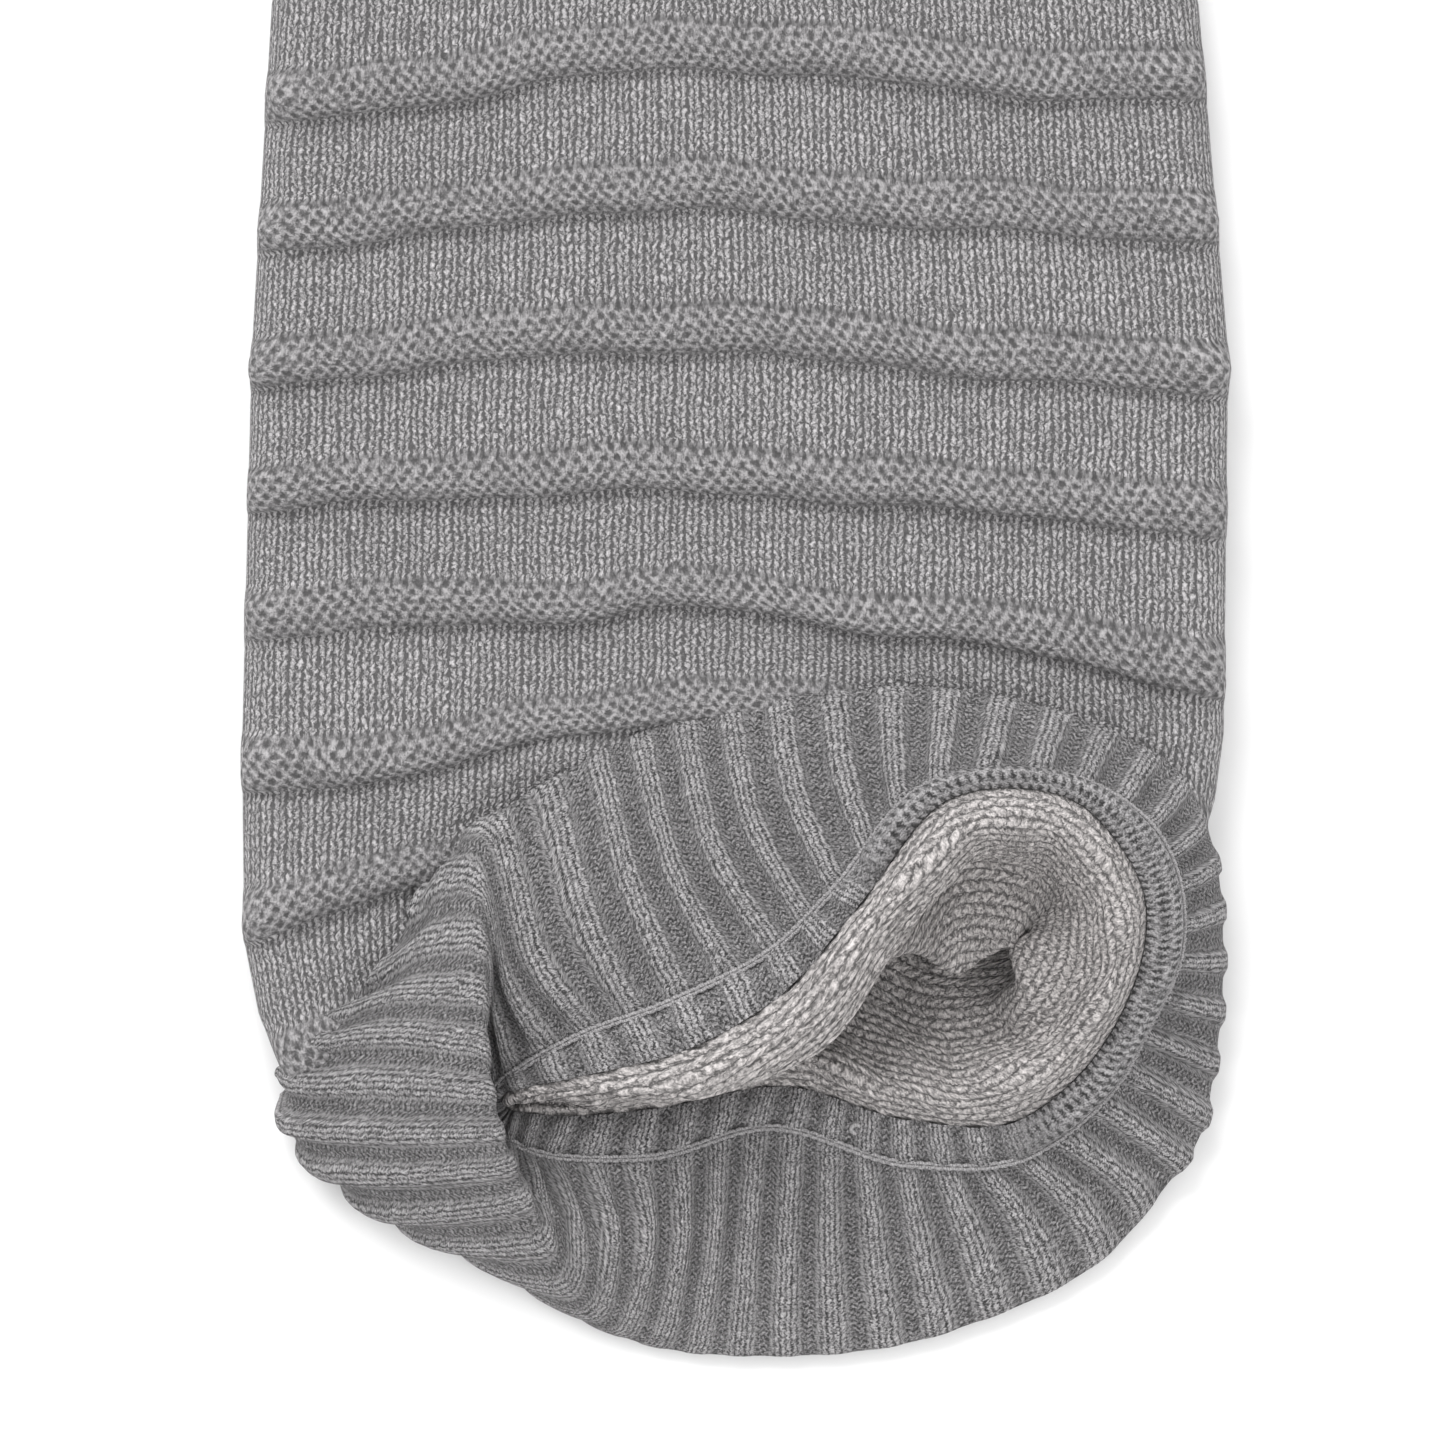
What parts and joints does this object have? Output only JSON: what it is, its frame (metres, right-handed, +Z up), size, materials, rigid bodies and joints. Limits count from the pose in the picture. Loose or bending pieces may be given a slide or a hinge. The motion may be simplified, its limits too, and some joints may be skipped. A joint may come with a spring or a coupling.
{
  "type": "knitted mitten",
  "caption": "Long-cuffed knitted mitten in grey melange wool, lying flat, with raised purl welts and a doubled rib cuff turned open at the mouth.",
  "frame": {"origin": "centre of the mitten's rectangle on the surface it lies on, at the height of its flat underside", "axes": "+Y from the cuff to the fingertips, along the longest side; +X towards the thumb; +Z up out of the surface, through the two layers"},
  "size_m": [0.1722, 0.4119, 0.0241],
  "materials": {
    "grey_knit": "melange wool knit, stocking stitch with raised purl welts",
    "grey_rib": "fine melange wool rib, doubled",
    "seam_yarn": "melange wool yarn in a linked chain",
    "pale_yarn": "pale wool yarn"
  },
  "bodies": {
    "mitten": {"mitten_body": "grey_knit", "rib_cuff": "grey_rib", "edge_strip": "grey_rib", "link_seam": "seam_yarn", "side_seam": "seam_yarn", "tip_seam": "seam_yarn", "yarn_knot": "pale_yarn"},
    "thumb": {"thumb": "grey_knit"}
  },
  "joints": [
    {"name": "thumb_swing", "type": "hinge", "parent": "mitten", "child": "thumb", "pos_m": [0.03591, 0.082, 0.0065], "axis": [0, 0, 1], "range_deg": [-17, 13]}
  ]
}
